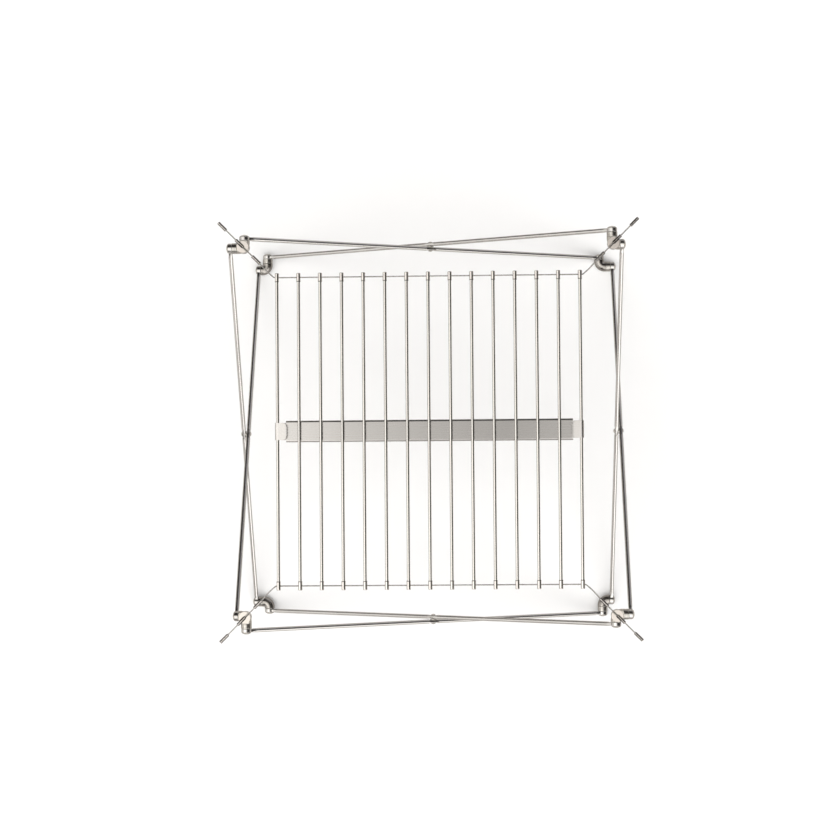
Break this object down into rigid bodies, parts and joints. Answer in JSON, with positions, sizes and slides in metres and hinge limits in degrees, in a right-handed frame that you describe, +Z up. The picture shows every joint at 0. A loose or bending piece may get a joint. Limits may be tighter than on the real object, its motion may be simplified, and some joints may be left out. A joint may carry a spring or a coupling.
{
  "type": "folding camp grill",
  "caption": "Collapsible scissor-leg camp grill: a square folding frame holds a mat of parallel steel tubes on cables over a fire, with a sliding stiffening bar.",
  "frame": {"origin": "on the ground, under the centre of the open grill", "axes": "+Z up through the cooking mat, +X to the right across the tubes, +Y to the back along the tubes"},
  "size_m": [0.3902, 0.3902, 0.2002],
  "materials": {
    "leg_steel": "drawn stainless rod, satin",
    "hub_steel": "bead blasted stainless, dull satin",
    "screw_steel": "polished stainless",
    "spacer_steel": "turned stainless",
    "tube_steel": "drawn stainless tube, fine lengthwise grain",
    "cap_steel": "pressed stainless, bright",
    "cable_steel": "stranded stainless wire",
    "ferrule_steel": "crimped stainless, satin",
    "bar_steel": "brushed stainless sheet"
  },
  "bodies": {
    "front_left_foot": {"lower_hub_front_left": "hub_steel", "lower_pivot_screws_front_left": "screw_steel", "lower_spacer_front_left": "spacer_steel"},
    "front_left_top": {"upper_hub_front_left": "hub_steel", "upper_pivot_screws_front_left": "screw_steel", "upper_spacer_front_left": "spacer_steel"},
    "front_right_foot": {"lower_hub_front_right": "hub_steel", "lower_pivot_screws_front_right": "screw_steel", "lower_spacer_front_right": "spacer_steel"},
    "front_right_top": {"upper_hub_front_right": "hub_steel", "upper_pivot_screws_front_right": "screw_steel", "upper_spacer_front_right": "spacer_steel"},
    "back_right_foot": {"lower_hub_back_right": "hub_steel", "lower_pivot_screws_back_right": "screw_steel", "lower_spacer_back_right": "spacer_steel"},
    "back_right_top": {"upper_hub_back_right": "hub_steel", "upper_pivot_screws_back_right": "screw_steel", "upper_spacer_back_right": "spacer_steel"},
    "back_left_foot": {"lower_hub_back_left": "hub_steel", "lower_pivot_screws_back_left": "screw_steel", "lower_spacer_back_left": "spacer_steel"},
    "back_left_top": {"upper_hub_back_left": "hub_steel", "upper_pivot_screws_back_left": "screw_steel", "upper_spacer_back_left": "spacer_steel"},
    "front_inner_leg": {"front_inner_leg": "leg_steel"},
    "front_outer_leg": {"front_outer_leg": "leg_steel", "front_mid_rivet": "screw_steel", "front_mid_washer": "spacer_steel"},
    "right_inner_leg": {"right_inner_leg": "leg_steel"},
    "right_outer_leg": {"right_outer_leg": "leg_steel", "right_mid_rivet": "screw_steel", "right_mid_washer": "spacer_steel"},
    "back_inner_leg": {"back_inner_leg": "leg_steel"},
    "back_outer_leg": {"back_outer_leg": "leg_steel", "back_mid_rivet": "screw_steel", "back_mid_washer": "spacer_steel"},
    "left_inner_leg": {"left_inner_leg": "leg_steel"},
    "left_outer_leg": {"left_outer_leg": "leg_steel", "left_mid_rivet": "screw_steel", "left_mid_washer": "spacer_steel"},
    "mat": {"mat_tube_01": "tube_steel", "mat_tube_02": "tube_steel", "mat_tube_03": "tube_steel", "mat_tube_04": "tube_steel", "mat_tube_05": "tube_steel", "mat_tube_06": "tube_steel", "mat_tube_07": "tube_steel", "mat_tube_08": "tube_steel", "mat_tube_09": "tube_steel", "mat_tube_10": "tube_steel", "mat_tube_11": "tube_steel", "mat_tube_12": "tube_steel", "mat_tube_13": "tube_steel", "mat_tube_14": "tube_steel", "mat_tube_15": "tube_steel", "tube_end_caps": "cap_steel", "front_cable": "cable_steel", "back_cable": "cable_steel", "cable_ferrules": "ferrule_steel"},
    "bar": {"support_bar": "bar_steel"}
  },
  "joints": [
    {"name": "frame_fold", "type": "hinge", "parent": "front_left_foot", "child": "front_inner_leg", "pos_m": [-0.17, -0.17, 0.005], "axis": [0, -1, 0], "range_deg": [0, 58.5]},
    {"name": "front_crossing", "type": "hinge", "parent": "front_inner_leg", "child": "front_outer_leg", "pos_m": [0, -0.17, 0.1], "axis": [0, -1, 0], "range_deg": [-118, 1]},
    {"name": "front_right_top_pivot", "type": "hinge", "parent": "front_inner_leg", "child": "front_right_top", "pos_m": [0.17, -0.17, 0.195], "axis": [0, -1, 0], "range_deg": [-59.5, 1]},
    {"name": "front_left_top_pivot", "type": "hinge", "parent": "front_outer_leg", "child": "front_left_top", "pos_m": [-0.17, -0.17, 0.195], "axis": [0, -1, 0], "range_deg": [-1, 59.5]},
    {"name": "front_right_foot_pivot", "type": "hinge", "parent": "front_outer_leg", "child": "front_right_foot", "pos_m": [0.17, -0.17, 0.005], "axis": [0, -1, 0], "range_deg": [-1, 59.5]},
    {"name": "left_leg_pivot", "type": "hinge", "parent": "front_left_foot", "child": "left_outer_leg", "pos_m": [-0.17, -0.17, 0.005], "axis": [1, 0, 0], "range_deg": [-1, 59.5]},
    {"name": "left_crossing", "type": "hinge", "parent": "left_outer_leg", "child": "left_inner_leg", "pos_m": [-0.17, 0, 0.1], "axis": [1, 0, 0], "range_deg": [-118, 1]},
    {"name": "back_left_top_pivot", "type": "hinge", "parent": "left_outer_leg", "child": "back_left_top", "pos_m": [-0.17, 0.17, 0.195], "axis": [1, 0, 0], "range_deg": [-59.5, 1]},
    {"name": "back_left_foot_pivot", "type": "hinge", "parent": "left_inner_leg", "child": "back_left_foot", "pos_m": [-0.17, 0.17, 0.005], "axis": [1, 0, 0], "range_deg": [-1, 59.5]},
    {"name": "right_leg_pivot", "type": "hinge", "parent": "front_right_foot", "child": "right_inner_leg", "pos_m": [0.17, -0.17, 0.005], "axis": [1, 0, 0], "range_deg": [-1, 59.5]},
    {"name": "right_crossing", "type": "hinge", "parent": "right_inner_leg", "child": "right_outer_leg", "pos_m": [0.17, 0, 0.1], "axis": [1, 0, 0], "range_deg": [-118, 1]},
    {"name": "back_right_top_pivot", "type": "hinge", "parent": "right_inner_leg", "child": "back_right_top", "pos_m": [0.17, 0.17, 0.195], "axis": [1, 0, 0], "range_deg": [-59.5, 1]},
    {"name": "back_right_foot_pivot", "type": "hinge", "parent": "right_outer_leg", "child": "back_right_foot", "pos_m": [0.17, 0.17, 0.005], "axis": [1, 0, 0], "range_deg": [-1, 59.5]},
    {"name": "back_leg_pivot", "type": "hinge", "parent": "back_left_foot", "child": "back_outer_leg", "pos_m": [-0.17, 0.17, 0.005], "axis": [0, -1, 0], "range_deg": [-1, 59.5]},
    {"name": "back_crossing", "type": "hinge", "parent": "back_outer_leg", "child": "back_inner_leg", "pos_m": [0, 0.17, 0.1], "axis": [0, -1, 0], "range_deg": [-118, 1]},
    {"name": "mat_lift", "type": "slide", "parent": "front_left_top", "child": "mat", "axis": [-0.289, -0.289, 0.9127], "range_m": [-0.001, 0.34]},
    {"name": "bar_slide", "type": "slide", "parent": "mat", "child": "bar", "axis": [0, 1, 0], "range_m": [-0.125, 0.125]}
  ],
  "couplings": [
    {"joint": "front_crossing", "follows": "frame_fold", "ratio": -2},
    {"joint": "front_right_top_pivot", "follows": "frame_fold", "ratio": -1},
    {"joint": "front_left_top_pivot", "follows": "frame_fold", "ratio": 1},
    {"joint": "front_right_foot_pivot", "follows": "frame_fold", "ratio": 1},
    {"joint": "left_leg_pivot", "follows": "frame_fold", "ratio": 1},
    {"joint": "left_crossing", "follows": "frame_fold", "ratio": -2},
    {"joint": "back_left_top_pivot", "follows": "frame_fold", "ratio": -1},
    {"joint": "back_left_foot_pivot", "follows": "frame_fold", "ratio": 1},
    {"joint": "right_leg_pivot", "follows": "frame_fold", "ratio": 1},
    {"joint": "right_crossing", "follows": "frame_fold", "ratio": -2},
    {"joint": "back_right_top_pivot", "follows": "frame_fold", "ratio": -1},
    {"joint": "back_right_foot_pivot", "follows": "frame_fold", "ratio": 1},
    {"joint": "back_leg_pivot", "follows": "frame_fold", "ratio": 1},
    {"joint": "back_crossing", "follows": "frame_fold", "ratio": -2},
    {"joint": "mat_lift", "follows": "frame_fold", "m_per_rad": 0.32871}
  ]
}
